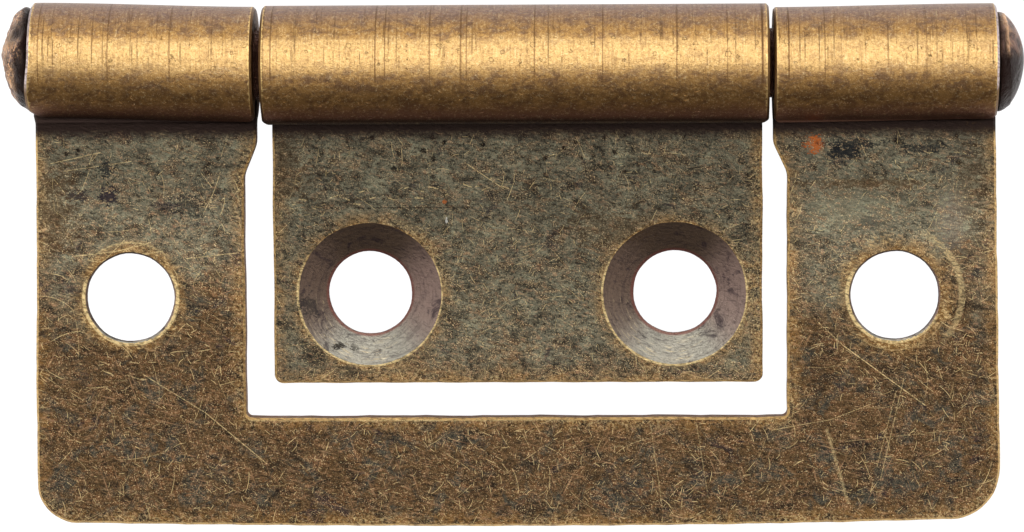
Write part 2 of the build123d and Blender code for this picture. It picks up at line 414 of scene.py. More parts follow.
def brass_group(hairlines, barrel_place):
    """The patina, wear and painted shade shared by both leaves and the barrel: masks only."""
    inputs = {"Vector": None, "Edge": 9.0, "Seed": 0.0, "Reach": 10.5}
    outputs = (
        "Green", "Russet", "Slate", "Streak", "Plum", "Pits", "Long", "Short", "Fine", "Lines", "Grain", "Edge",
        "Dust", "Seam", "Barrel", "Mauve", "Crest", "Under", "Clump", "Tone", "Top", "Glint", "Brush",
    )
    graph, given, out = new_group("aged_brass", inputs, outputs)
    shift = graph.joined(graph.times(given["Seed"], 7.3), 0.0, given["Seed"])
    shifted = graph.vector("ADD", given["Vector"], shift)
    place = graph.parts(given["Vector"])
    barrel = graph.call(barrel_place, Vector=given["Vector"])
    below = graph.less(AXIS_Y - BARREL_RADIUS, place[1])

    broad = graph.noise(shifted, 0.22, 3.0, 0.6, 0.6)
    patch = graph.noise(shifted, 0.9, 5.0, 0.7, 0.8)
    slanted = graph.scaled(graph.turned(shifted, STREAK_ANGLE), 0.6, 1.2, 1.0)
    mottle = graph.noise(slanted, 1.7, 5.0, 0.75, 0.8)
    streak = graph.noise(slanted, 5.5, 4.0, 0.75, 0.5)
    grain = graph.noise(shifted, 6.0, 3.0, 0.8)
    speck = graph.noise(shifted, 15.0, 2.0, 0.7)

    height = graph.plus(below, graph.times(graph.less(broad, 0.5), 14.0))
    height = graph.plus(height, graph.times(graph.less(patch, 0.5), 7.0))
    graph.put(out["Green"], graph.ranged(height, given["Reach"], graph.less(given["Reach"], 7.0)))
    graph.put(out["Russet"], graph.ranged(mottle, 0.48, 0.66))
    graph.put(out["Slate"], graph.ranged(graph.noise(shifted, 0.7, 5.0, 0.7, 0.9), 0.48, 0.62))
    graph.put(out["Streak"], streak)
    stains = graph.noise(graph.scaled(shifted, 0.7, 1.1, 1.0), 0.75, 4.0, 0.7, 0.9)
    graph.put(out["Plum"], graph.ranged(stains, 0.59, 0.68))
    graph.put(out["Clump"], graph.ranged(graph.noise(shifted, 0.5, 3.0, 0.6, 0.4), 0.4, 0.62))

    pit_cells = graph.node("ShaderNodeTexVoronoi", {"voronoi_dimensions": "3D"}, Vector=shifted, Scale=1.9)
    pit_size = graph.times_plus(graph.parts(pit_cells.outputs["Color"])[0], 0.5, -0.16)
    pit_edge = graph.plus(pit_cells.outputs["Distance"], graph.times_plus(grain, 0.5, -0.25))
    near_barrel = graph.ranged(graph.plus(below, graph.times(patch, 4.0)), 8.5, 3.0)
    pits = graph.ranged(pit_edge, pit_size, graph.less(pit_size, 0.07))
    graph.put(out["Pits"], graph.times(pits, near_barrel))

    scuffs = graph.node("ShaderNodeTexVoronoi", {"voronoi_dimensions": "2D"}, Vector=shifted, Scale=0.35)
    scuff_angle = graph.times(graph.parts(scuffs.outputs["Color"])[1], math.pi)

    def scratched(layers, share):
        """Layers of hairlines over one another, each with its density, width, share, spread and seed."""
        most = None
        for density, width, part, spread, seed in layers:
            mask = graph.call(
                hairlines, Vector=shifted, Density=density, Width=width, Length=0.6,
                Share=graph.times(share, part), Angle=scuff_angle, Spread=spread, Seed=seed,
            )[0]
            most = mask if most is None else graph.most(most, mask)
        return most

    lower = graph.ranged(height, 2.0, 9.0, 0.5, 1.0)
    clump = graph.ranged(graph.noise(shifted, 0.45, 3.0, 0.6, 0.3), 0.38, 0.6, 0.15, 1.0)
    share = graph.times(lower, clump)
    broken = graph.ranged(grain, 0.36, 0.56)
    long_layers = ((0.3, 0.008, 0.6, 6.3, 3.0), (0.5, 0.012, 0.5, 2.0, 11.0))
    short_layers = ((0.8, 0.016, 0.6, 1.2, 23.0), (1.3, 0.024, 0.55, 2.4, 31.0), (2.2, 0.044, 0.55, 6.3, 41.0))
    longer = scratched(long_layers, lower)
    graph.put(out["Long"], graph.times(longer, broken))
    graph.put(out["Short"], scratched(short_layers, share))
    fine = None
    fine_layers = ((0.25, 0.5, 8.0, 3.0), (1.25, 0.6, 9.0, 17.0), (2.05, 0.45, 7.0, 29.0), (2.8, 0.8, 10.0, 43.0))
    for angle, along, across, home in fine_layers:
        laid = graph.scaled(graph.turned(shifted, angle), along, across, 1.0)
        laid = graph.vector("ADD", laid, (home, home, 0))
        mask = graph.ranged(graph.noise(laid, 1.0, 2.0, 0.6, 0.15), 0.61, 0.76)
        field = graph.noise(graph.vector("ADD", shifted, (home, 0, 0)), 0.6, 2.0, 0.5)
        field = graph.ranged(field, 0.36, 0.62, 0.2, 1.0)
        mask = graph.times(mask, field)
        fine = mask if fine is None else graph.most(fine, mask)
    graph.put(out["Fine"], fine)
    graph.put(out["Tone"], graph.noise(graph.scaled(shifted, 0.8, 1.1, 1.0), 1.1, 5.0, 0.7, 0.7))

    round_barrel = graph.joined(place[0], graph.times(barrel["Around"], 0.16), 0.0)
    away = graph.joined(graph.times(given["Seed"], 3.1), given["Seed"], 0.0)
    round_barrel = graph.vector("ADD", round_barrel, away)
    lines = None
    for density, width, part, seed in ((1.1, 0.05, 0.8, 5.0), (2.4, 0.1, 0.5, 19.0), (0.7, 0.034, 0.8, 33.0)):
        mask = graph.call(
            hairlines, Vector=round_barrel, Density=density, Width=width, Length=0.6, Share=part,
            Angle=math.pi / 2, Spread=0.0, Bend=0.0, Seed=seed,
        )[0]
        lines = mask if lines is None else graph.most(lines, mask)
    in_front = graph.ranged(barrel["Angle"], 1.75, 1.2, 0.15, 1.0)
    behind = graph.ranged(barrel["Angle"], -1.2, -0.4, 0.25, 1.0)
    graph.put(out["Lines"], graph.times(lines, graph.times(in_front, behind)))
    brushed = graph.scaled(round_barrel, 9.0, 5.0, 1.0)
    brush = graph.less(graph.noise(brushed, 1.0, 3.0, 0.7, 0.2), 0.5)
    brush = graph.times(brush, graph.ranged(barrel["Angle"], 2.0, 1.5, 0.3, 1.0))
    graph.put(out["Brush"], graph.plus(graph.times(brush, graph.ranged(patch, 0.35, 0.6, 0.3, 1.0)), 0.5))

    graph.put(out["Grain"], graph.times_plus(speck, 0.4, graph.times(grain, 0.6)))
    spread = graph.ranged(mottle, 0.4, 0.64, 0.25, 1.0)
    graph.put(out["Glint"], graph.times(graph.ranged(speck, 0.56, 0.68), spread))
    ragged = graph.plus(given["Edge"], graph.times_plus(grain, -0.5, 0.25))
    worn = graph.ranged(patch, 0.36, 0.56, 0.3, 1.0)
    graph.put(out["Edge"], graph.times(graph.ranged(ragged, 0.1, 0.0), worn))
    dust = graph.times(graph.ranged(given["Edge"], 0.8, 0.05), graph.ranged(broad, 0.42, 0.6, 0.1, 1.0))
    graph.put(out["Dust"], graph.times(dust, graph.ranged(grain, 0.5, 0.64)))
    # Seam: painted shade on the leaf next to the barrel and on the bend behind the curl.
    uneven = graph.plus(graph.times_plus(patch, 0.4, -0.2), graph.times_plus(streak, 0.6, -0.3))
    front = graph.ranged(place[2], AXIS_Z, AXIS_Z + 0.3)
    seam = graph.times(graph.ranged(graph.plus(below, uneven), 1.05, 0.2), front)
    seam = graph.most(graph.times(seam, graph.less(1.0, barrel["Barrel"])), barrel["Bend"])
    graph.put(out["Seam"], seam)
    graph.put(out["Barrel"], barrel["Barrel"])
    mauve = graph.noise(graph.scaled(shifted, 1.0, 1.5, 1.5), 1.3, 5.0, 0.75, 0.4)
    graph.put(out["Mauve"], graph.ranged(mauve, 0.4, 0.64))
    # Top, Crest and Under: bands round the barrel by angle, which carry its painted light and shade.
    top = graph.times(graph.ranged(barrel["Angle"], 0.95, 0.35), graph.ranged(barrel["Angle"], -0.8, -0.2))
    graph.put(out["Top"], top)
    sway = graph.times_plus(patch, 0.35, -0.17)
    angle = graph.plus(barrel["Angle"], sway)
    crest = graph.times(graph.ranged(angle, 0.98, 1.16), graph.ranged(angle, 1.8, 1.48))
    graph.put(out["Crest"], crest)
    under = graph.plus(graph.ranged(angle, 1.6, 2.2), graph.ranged(angle, 2.15, 2.65))
    graph.put(out["Under"], graph.plus(under, graph.ranged(barrel["Angle"], 2.5, 2.9)))
    return graph.tree


def about(graph, flat, centre):
    """A flat point's distance from a centre, and its direction from there as x and y."""
    step = graph.vector("SUBTRACT", flat, centre)
    right, up, _ = graph.parts(graph.vector("NORMALIZE", step))
    return graph.length(step), right, up


def blot(graph, flat, centre, radii, ragged, depth):
    """A mask for a stain round a point of the leaves' plane, with a ragged rim; one of them is a painted sheen."""
    step = graph.vector("DIVIDE", graph.vector("SUBTRACT", flat, (*centre, 0)), (*radii, 1))
    return graph.ranged(graph.plus(graph.length(step), ragged), 1.0, 0.6, 0.0, depth)


def cone_colour(graph, away, right, up, age):
    """A countersink's colour, mostly painted light and shade: a pale grey-green painted highlight where it faces
    the far side, painted shade in brown above, mauve sides lighter on the right, painted glints low on the left and
    fine rings left by the cutter."""
    tone = graph.mixed(graph.ranged(up, -0.85, 0.45), CONE_HIGHLIGHT_GREY, CONE_SHADE_BROWN)
    # Painted light: the right side lighter than the left.
    side_tone = graph.mixed(graph.ranged(right, -1.6, 0.6), CONE_SHADE_BROWN, CONE_MAUVE)
    tone = graph.mixed(graph.ranged(graph.size(right), 0.45, 1.0, 0.0, 0.85), tone, side_tone)
    around = graph.joined(graph.times(away, 7.0), graph.times(right, 2.5), graph.times(up, 2.5))
    rings = graph.noise(around, 1.0, 3.0, 0.7, 0.4)
    tone = graph.mixed(graph.ranged(rings, 0.5, 0.36, 0.0, 0.3), tone, PLUM_STAIN)
    # Painted glints low on the left of the cone.
    lower_left = graph.ranged(graph.times_plus(right, 0.4, up), -0.2, -0.9)
    tone = graph.mixed(graph.times(graph.ranged(rings, 0.56, 0.7, 0.0, 0.4), lower_left), tone, PALE_GOLD)
    tone = graph.mixed(graph.ranged(age["Tone"], 0.46, 0.34, 0.0, 0.7), tone, PLUM_STAIN)
    tone = graph.mixed(graph.ranged(age["Streak"], 0.5, 0.36, 0.0, 0.4), tone, PLUM_STAIN)
    return graph.mixed(graph.ranged(away, 2.36, 2.24, 0.0, 0.8), tone, RED_RIM)


def leaf_patina(graph, age, edge, y, amounts):
    """The flat parts: green towards the barrel and brown away from it, with stains, pits, painted glints and a painted
    sheen.
    """
    brown_part = graph.less(1.0, age["Green"])

    def browner(mask, in_green, in_brown):
        return graph.times(mask, graph.ranged(brown_part, 0.0, 1.0, in_green, in_brown))

    leaf = graph.mixed(age["Green"], OLIVE_PATINA, SLATE_GREEN)
    leaf = graph.mixed(graph.times(graph.ranged(age["Tone"], 0.5, 0.66), age["Green"]), leaf, PALE_GREEN)
    leaf = graph.mixed(browner(age["Slate"], 0.2, 0.85), leaf, SLATE_PATINA)
    leaf = graph.mixed(browner(age["Russet"], 0.45, 0.72), leaf, RUSSET_PATINA)
    near_edge = graph.times(graph.ranged(edge, 0.9, 0.1), graph.ranged(age["Tone"], 0.42, 0.6, 0.15, 0.65))
    leaf = graph.mixed(near_edge, leaf, RUBBED_BROWN)
    leaf = graph.mixed(graph.times(age["Plum"], 0.75), leaf, PLUM_STAIN)
    leaf = graph.mixed(graph.ranged(age["Tone"], 0.5, 0.34, 0.0, 0.75), leaf, DARK_PATINA_AND_SHADE)
    leaf = graph.mixed(graph.ranged(age["Streak"], 0.5, 0.36, 0.0, 0.75), leaf, DARK_PATINA_AND_SHADE)
    leaf = graph.mixed(graph.ranged(age["Streak"], 0.53, 0.66, 0.0, 0.45), leaf, COPPER_HAIR)
    leaf = graph.mixed(graph.ranged(age["Grain"], 0.52, 0.36, 0.0, amounts["grit"]), leaf, DARK_PATINA_AND_SHADE)
    leaf = graph.mixed(graph.times(age["Pits"], 0.95), leaf, DARK_PATINA_AND_SHADE)
    leaf = graph.mixed(graph.times(browner(age["Fine"], 0.3, 1.0), 0.6), leaf, COPPER_HAIR)
    # Painted glints in pale gold.
    leaf = graph.mixed(graph.times(age["Glint"], 0.85), leaf, PALE_GOLD)

    # Painted sheen: the colour is scaled lighter away from the barrel over a broad band, and on the outer leaf a little
    # darker again towards its far edge.
    height = graph.times_plus(age["Tone"], 3.0, y)
    lift = graph.ranged(height, amounts["bright_from"], amounts["bright_to"], 1.0, amounts["bright"])
    fade = graph.ranged(height, amounts["fade_from"], amounts["fade_to"], 1.0, 1 / amounts["fade"])
    return graph.stretched(leaf, graph.times(lift, fade))


def barrel_patina(graph, age, x, grooves):
    """The knuckles: warm polished brass with painted light and shade, lighter on top, a crest that is rubbed brass and
    painted highlight, and painted shade darker and duller towards the leaf.
    """
    low = graph.least(graph.most(graph.less(age["Under"], 1.0), 0.0), 1.0)
    lowest = graph.most(graph.less(age["Under"], 2.0), 0.0)
    crest = graph.times(age["Crest"], graph.ranged(age["Mauve"], 0.0, 1.0, 0.95, 0.65))
    barrel = graph.mixed(age["Mauve"], WARM_BRASS, MAUVE_BROWN)
    # Painted light: the barrel's top painted a lighter mauve-grey.
    barrel = graph.mixed(graph.times(age["Top"], 0.7), barrel, MAUVE_GREY)
    # Painted shade: olive and umber below the crest, then the curl's shade colour lower down.
    below = graph.mixed(age["Mauve"], OLIVE_BRASS, UMBER_BRASS)
    barrel = graph.mixed(graph.least(age["Under"], 1.0), barrel, below)
    barrel = graph.mixed(low, barrel, CURL_SHADE)
    # The crest: rubbed brass, and a painted highlight where the softbox's reflection falls.
    barrel = graph.mixed(crest, barrel, CREST_BRASS)
    barrel = graph.mixed(graph.ranged(age["Grain"], 0.54, 0.32, 0.0, 0.6), barrel, UMBER_BRASS)
    barrel = graph.mixed(graph.ranged(age["Brush"], 0.5, 0.34, 0.0, 0.4), barrel, UMBER_BRASS)
    barrel = graph.mixed(graph.ranged(age["Brush"], 0.56, 0.7, 0.0, 0.3), barrel, PALE_GOLD)
    barrel = graph.mixed(graph.ranged(age["Grain"], 0.52, 0.68, 0.0, 0.45), barrel, PALE_GOLD)
    # Painted shade: the lowest part of the curl darkened into the seam.
    barrel = graph.mixed(lowest, barrel, SEAM_SHADE)
    barrel = graph.mixed(graph.times(age["Lines"], 0.5), barrel, UMBER_BRASS)
    wavering = graph.times_plus(age["Streak"], 0.06, x)
    groove = 0.0
    for centre, width, depth in grooves:
        off = graph.size(graph.less(wavering, centre + 0.03))
        groove = graph.most(groove, graph.ranged(off, width, 0.25 * width, 0.0, depth))
    groove = graph.times(groove, graph.ranged(age["Under"], 0.6, 0.0))
    return graph.mixed(groove, barrel, UMBER_BRASS), low


def leaf_marks(graph, flat, stroke, age, strokes, rings):
    """Chosen scratches and rubbed arcs, broken up by the grain of the brass."""
    lines = 0.0
    for start, end, width, depth in strokes:
        mask = graph.call(stroke, Vector=flat, From=(*start, 0), To=(*end, 0), Width=width, Depth=depth)[0]
        lines = graph.most(lines, mask)
    lines = graph.times(lines, graph.ranged(age["Grain"], 0.4, 0.54, 0.2, 1.0))
    arcs = 0.0
    for centre, radius, width, (to_right, to_top, start), depth in rings:
        away, right, up = about(graph, flat, (*centre, 0))
        along = graph.times_plus(right, to_right, graph.times(up, to_top))
        off = graph.size(graph.less(away, radius))
        arc = graph.ranged(off, width, 0.4 * width, 0.0, depth)
        arcs = graph.most(arcs, graph.times(arc, graph.ranged(along, start, start + 0.3)))
    arcs = graph.times(arcs, graph.ranged(age["Streak"], 0.42, 0.56, 0.3, 1.0))
    return graph.most(lines, arcs)


def leaf_material(name, groups, seed, amounts, holes, strokes, rings, grooves, spots):
    """Aged brass for a leaf and its knuckles: a green and brown patina scratched down to bright
    metal, a warmer polished barrel with painted light and shade, worn edges and painted shade under the curl."""
    stroke, aged = groups
    graph, shader, place = new_material(name)
    x, y, z = graph.parts(place)
    flat = graph.scaled(place, 1, 1, 0)
    edge, cut = graph.mark("edge_distance"), graph.mark("cut_edge")
    cone, bevel = graph.mark("cone"), graph.mark("bevel")
    age = graph.call(aged, Vector=place, Edge=edge, Seed=seed, Reach=amounts["green"])
    front = graph.ranged(z, AXIS_Z, AXIS_Z + 0.2)

    (left, radius, left_reach), (right, _, right_reach) = holes
    on_right = graph.math("GREATER_THAN", x, (left[0] + right[0]) / 2)
    hole = graph.joined(graph.times_plus(on_right, right[0] - left[0], left[0]), left[1], 0.0)
    reach = graph.times_plus(on_right, right_reach - left_reach, left_reach)
    from_hole, hole_right, hole_up = about(graph, flat, hole)

    leaf = leaf_patina(graph, age, edge, y, amounts)
    ragged = graph.times(reach, graph.times_plus(age["Streak"], -2.0, 1.0))
    rubbed = graph.ranged(graph.plus(from_hole, ragged), graph.plus(reach, radius), radius)
    rubbed = graph.times(rubbed, graph.times(graph.ranged(age["Clump"], 0.0, 1.0, 0.3, 1.0), front))
    rubbed_tone = graph.times(rubbed, graph.ranged(age["Streak"], 0.36, 0.52, 0.35, 0.85))
    leaf = graph.mixed(rubbed_tone, leaf, RUBBED_BROWN)
    bright_streaks = graph.ranged(age["Streak"], 0.52, 0.64, 0.0, 0.8)
    bright_grains = graph.ranged(age["Grain"], 0.55, 0.63, 0.0, 0.9)
    rubbed = graph.times(rubbed, graph.most(bright_streaks, bright_grains))
    marks = graph.times(graph.most(rubbed, leaf_marks(graph, flat, stroke, age, strokes, rings)), front)
    scratches = graph.times(graph.most(age["Short"], age["Long"]), 1.1 * amounts["scratch"])
    scratches = graph.most(scratches, marks)
    scratches = graph.most(scratches, graph.times(age["Dust"], amounts["dust"]))
    # Scratches, rubbed metal and dust, with the painted highlight along the cut-out's edge, in bright gold.
    leaf = graph.mixed(scratches, leaf, SCRATCH_AND_HIGHLIGHT_GOLD)
    barrel, low = barrel_patina(graph, age, x, grooves)
    colour = graph.mixed(age["Barrel"], leaf, barrel)

    # Unshaded: away from the painted shade of the seam.
    unshaded = graph.less(1.0, age["Seam"])
    worn_edge = graph.times(graph.times(age["Edge"], unshaded), graph.less(1.0, graph.most(cone, low)))
    colour = graph.mixed(graph.times(worn_edge, 0.75), colour, WORN_GOLD)
    in_cone = graph.ranged(from_hole, radius + 3.0, radius + 2.9)
    cone_shading = graph.mixed(in_cone, CONE_SHADE_BROWN, cone_colour(graph, from_hole, hole_right, hole_up, age))
    colour = graph.mixed(cone, colour, cone_shading)
    # Painted highlight: the cut faces at the barrel's outer ends painted lavender-white.
    outer_end = graph.ranged(graph.size(x), BARREL_END - 0.7, BARREL_END - 0.6)
    outer_end = graph.times(outer_end, graph.ranged(age["Under"], 0.9, 0.4))
    cut_tone = graph.mixed(age["Barrel"], COPPER_EDGE, graph.mixed(outer_end, UMBER_BRASS, LAVENDER_HIGHLIGHT))
    cut_tone = graph.mixed(graph.ranged(age["Streak"], 0.56, 0.4, 0.0, 0.7), cut_tone, UMBER_BRASS)
    colour = graph.mixed(graph.times(cut, 0.9), colour, cut_tone)
    # Painted shade on the bores' walls.
    colour = graph.mixed(graph.times(graph.ranged(from_hole, 2.6, 2.5), cut), colour, BORE_SHADE)
    polished = graph.times(bevel, graph.ranged(age["Streak"], 0.38, 0.54, 0.3, 1.0))
    colour = graph.mixed(graph.times(polished, 0.8), colour, WORN_GOLD)
    # Painted shade under the curl.
    colour = graph.mixed(age["Seam"], colour, SEAM_SHADE)
    # Lip: painted light and shade on the curl's underside, a lighter brown on the outer knuckles and dark on the inner
    # one.
    lip = graph.ranged(y, AXIS_Y - 2.6, AXIS_Y - 2.95, 0.0, 0.7)
    lip = graph.times(lip, graph.ranged(z, AXIS_Z + 0.72, AXIS_Z + 0.82))
    colour = graph.mixed(lip, colour, amounts["lip"])
    ragged = graph.plus(graph.times_plus(age["Streak"], 3.0, -1.5), graph.times_plus(age["Tone"], 1.6, -0.8))
    ragged = graph.plus(ragged, graph.times_plus(age["Grain"], 4.0, -2.0))
    # Spots: stains, and on the outer leaf one painted sheen in SHEEN_GREY.
    for centre, radii, tone, depth in spots:
        stain = blot(graph, flat, centre, radii, ragged, depth)
        colour = graph.mixed(graph.times(stain, front), colour, tone)

    bright = graph.most(graph.most(scratches, worn_edge), graph.most(cut, age["Barrel"]))
    bright = graph.times(graph.most(bright, cone), unshaded)
    graph.put(shader.inputs["Base Color"], colour)
    graph.put(shader.inputs["Metallic"], graph.ranged(bright, 0.0, 1.0, 0.75, 1.0))
    graph.put(shader.inputs["Roughness"], graph.ranged(bright, 0.0, 1.0, 0.5, 0.34))
    graph.put(shader.inputs["Specular IOR Level"], 0.2)
    rough = graph.ranged(graph.most(age["Barrel"], graph.times(cone, 0.8)), 0.0, 1.0, amounts["relief"], 0.3)
    relief = graph.times_plus(age["Streak"], rough, graph.times(age["Grain"], 0.6))
    relief = graph.less(graph.less(relief, graph.times(age["Pits"], 0.6)), graph.times(age["Lines"], 0.3))
    graph.add_bump(shader, relief, 0.7, 0.08)
    return graph.material


def pin_material(aged):
    """The pin: dark hammered brass with a painted highlight on a ridge here and there, painted glints on the left head,
    and painted shade in its pit and next to the knuckles.
    """
    graph, shader, place = new_material("hammered_pin")
    x, y, _ = graph.parts(place)
    age = graph.call(aged, Vector=place, Edge=9.0, Seed=6.0)
    colour = graph.mixed(graph.ranged(age["Tone"], 0.5, 0.62, 0.0, 0.8), PIN_BROWN, PIN_GOLD)
    colour = graph.mixed(graph.ranged(age["Tone"], 0.5, 0.4, 0.0, 0.8), colour, PIN_SHADE)
    left = graph.ranged(x, BARREL_END, -BARREL_END)
    # Painted glints on the left head.
    colour = graph.mixed(graph.times(graph.ranged(age["Streak"], 0.49, 0.6), left), colour, PIN_GLINT)
    colour = graph.mixed(graph.ranged(age["Grain"], 0.48, 0.36, 0.0, 0.7), colour, PIN_SHADE)
    # Painted highlight along the ridges.
    ridge = graph.times(graph.mark("ridge"), graph.ranged(age["Grain"], 0.4, 0.56, 0.3, 1.0))
    colour = graph.mixed(ridge, colour, PIN_GLINT)
    # Painted shade in the hammered pit.
    colour = graph.mixed(graph.mark("hollow"), colour, PIN_SHADE)
    along = graph.size(x)
    # Painted shade on the shank and at the left head's base beside the knuckle.
    shank = graph.ranged(along, BARREL_END + 0.55, BARREL_END + 0.1)
    base = graph.ranged(x, -BARREL_END - 0.95, -BARREL_END - 0.4)
    base = graph.times(base, graph.ranged(y, AXIS_Y + 1.0, AXIS_Y + 0.2))
    colour = graph.mixed(graph.most(shank, base), colour, PIN_SHADE)
    # Painted light: the shank within the barrel painted a lighter brown so that it reads in the gaps' shade.
    colour = graph.mixed(graph.ranged(along, BARREL_END - 1.0, BARREL_END - 2.0), colour, CURL_SHADE)
    graph.put(shader.inputs["Base Color"], colour)
    graph.put(shader.inputs["Metallic"], 0.95)
    graph.put(shader.inputs["Roughness"], 0.26)
    graph.add_bump(shader, graph.times_plus(age["Tone"], 3.0, age["Grain"]), 1.0, 0.32)
    return graph.material


# Leaves

GRID_STEP = 0.6 * MM
SHARP_ANGLE = math.radians(25)
CONE_REACH = 3.9


def gridded_copy(node, name, step):
    """A copy of a CAD piece with its doubled corners merged, cut along a grid in x and y."""
    work = bmesh.new()
    work.from_mesh(node.data)
    bmesh.ops.remove_doubles(work, verts=work.verts, dist=1e-6)
    for axis in (0, 1):
        places = [vert.co[axis] for vert in work.verts]
        low, high = min(places), max(places)
        normal = [0, 0, 0]
        normal[axis] = 1
        for place in np.arange(low + step, high - 0.3 * step, step):
            crossed = [
                face for face in work.faces
                if min(vert.co[axis] for vert in face.verts) < place < max(vert.co[axis] for vert in face.verts)
            ]
            edges = {edge for face in crossed for edge in face.edges}
            verts = {vert for face in crossed for vert in face.verts}
            point = [0, 0, 0]
            point[axis] = place
            bmesh.ops.bisect_plane(work, geom=[*crossed, *edges, *verts], plane_co=point, plane_no=normal, dist=1e-7)
    for face in work.faces:
        face.smooth = True
    for edge in work.edges:
        edge.smooth = edge.calc_face_angle(0) < SHARP_ANGLE
    mesh = bpy.data.meshes.new(name)
    work.to_mesh(mesh)
    work.free()
    return mesh


def vertices(mesh):
    """A mesh's vertices in millimetres, as rows of x, y and z."""
    flat = np.empty(3 * len(mesh.vertices))
    mesh.vertices.foreach_get("co", flat)
    return flat.reshape(-1, 3) / MM


def carry(mesh, name, values, domain="POINT"):
    """A mask kept on the mesh, one value to a point or a face."""
    mesh.attributes.new(name, "FLOAT", domain).data.foreach_set("value", values.astype(np.float32).ravel())


def mark_edges(mesh, holes):
    """Attributes for the wear: each point's distance in millimetres from a sharp edge, the faces
    that belong to broken or cut edges, and the faces of the countersinks."""
    place = vertices(mesh)
    ends = np.empty(2 * len(mesh.edges), dtype=np.int32)
    mesh.edges.foreach_get("vertices", ends)
    sharp = np.empty(len(mesh.edges), dtype=bool)
    mesh.attributes["sharp_edge"].data.foreach_get("value", sharp)
    corners = np.unique(ends.reshape(-1, 2)[sharp])
    tree = KDTree(len(corners))
    for index, corner in enumerate(corners):
        tree.insert(place[corner], index)
    tree.balance()
    distance = np.array([tree.find(point)[2] for point in place])
    carry(mesh, "edge_distance", distance)

    count = len(mesh.polygons)
    normals = np.empty(3 * count)
    centres = np.empty(3 * count)
    mesh.polygons.foreach_get("normal", normals)
    mesh.polygons.foreach_get("center", centres)
    normals = normals.reshape(-1, 3)
    centres = centres.reshape(-1, 3) / MM
    flat_part = centres[:, 1] < AXIS_Y - BARREL_RADIUS
    cut = (np.abs(normals[:, 0]) > 0.3) | (flat_part & (np.abs(normals[:, 2]) < 0.8))
    cone = np.zeros(count)
    for (x, y), radius, _ in holes:
        within = np.hypot(centres[:, 0] - x, centres[:, 1] - y) < max(radius, CONE_REACH)
        sloped = (np.abs(normals[:, 2]) > 0.3) & (np.abs(normals[:, 2]) < 0.95)
        cut &= ~(within & (np.abs(normals[:, 2]) > 0.3))
        cone[within & sloped] = 1
    bevel = flat_part & (np.abs(normals[:, 2]) > 0.3) & (np.abs(normals[:, 2]) < 0.9) & (cone == 0)
    carry(mesh, "cut_edge", cut, "FACE")
    carry(mesh, "cone", cone, "FACE")
    carry(mesh, "bevel", bevel, "FACE")


def barrel_shift(x):
    """How far the barrel has been knocked out of line at x, in +y: most at the left end, and a
    little the other way beside the right gap. Both ease out to nothing."""
    left = 0.27 * smooth(-12.5, -25, x)
    right = -0.15 * smooth(25, 13, x) * smooth(12, 14, x)
    return left + right


def worn(place, seed):
    """Points with small slow waves added, as sheet metal has after years of use."""
    x, y, z = place.T
    wave = np.zeros_like(place)
    for number, (length, height) in enumerate(((7.0, 0.018), (3.1, 0.012), (1.5, 0.009))):
        turn = 2 * math.pi / length
        phase = seed + 2.1 * number
        wave[:, 0] += height * np.sin(turn * y + phase) * np.sin(turn * 0.7 * x + 1.3 * phase)
        wave[:, 1] += height * np.sin(turn * x + 1.7 * phase) * np.sin(turn * 0.8 * y + 0.6 * phase)
    return place + wave


def dress_leaf(node_name, body, material, holes, seed, knocked):
    """A leaf's worn copy in place of its CAD piece."""
    node = frame["nodes"][node_name]
    mesh = gridded_copy(node, node_name + "_worn", GRID_STEP)
    mark_edges(mesh, holes)
    place = vertices(mesh)
    on_barrel = smooth(AXIS_Y - 5.2, AXIS_Y - 3.4, place[:, 1])
    moved = worn(place, seed)
    moved = place + (moved - place) * (1 - on_barrel)[:, None]
    if knocked:
        moved[:, 1] += on_barrel * barrel_shift(place[:, 0])
        x, y, z = place.T
        left_end = smooth(-23.9, -25, x)
        rim = smooth(2.45, 2.8, np.hypot(y - AXIS_Y, z - AXIS_Z)) * smooth(AXIS_Y + 0.4, AXIS_Y - 1.6, y)
        low = smooth(AXIS_Y - 2.35, AXIS_Y - 3.05, y)
        front = smooth(AXIS_Z + 0.65, AXIS_Z + 0.8, z)
        moved[:, 0] += left_end * front * (0.6 * low - 0.2 * rim)
        moved[:, 0] += left_end * (1 - front) * 0.1 * smooth(AXIS_Y - 2.8, AXIS_Y - 3.3, y) * smooth(-6, 2, y)
    mesh.vertices.foreach_set("co", (moved * MM).ravel())
    mesh.materials.clear()
    mesh.materials.append(material)
    mesh.update()
    leaf = bpy.data.objects.new(node_name + "_worn", mesh)
    scene.collection.objects.link(leaf)
    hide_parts(node_name)
    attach(leaf, body)
    return leaf


# Pin


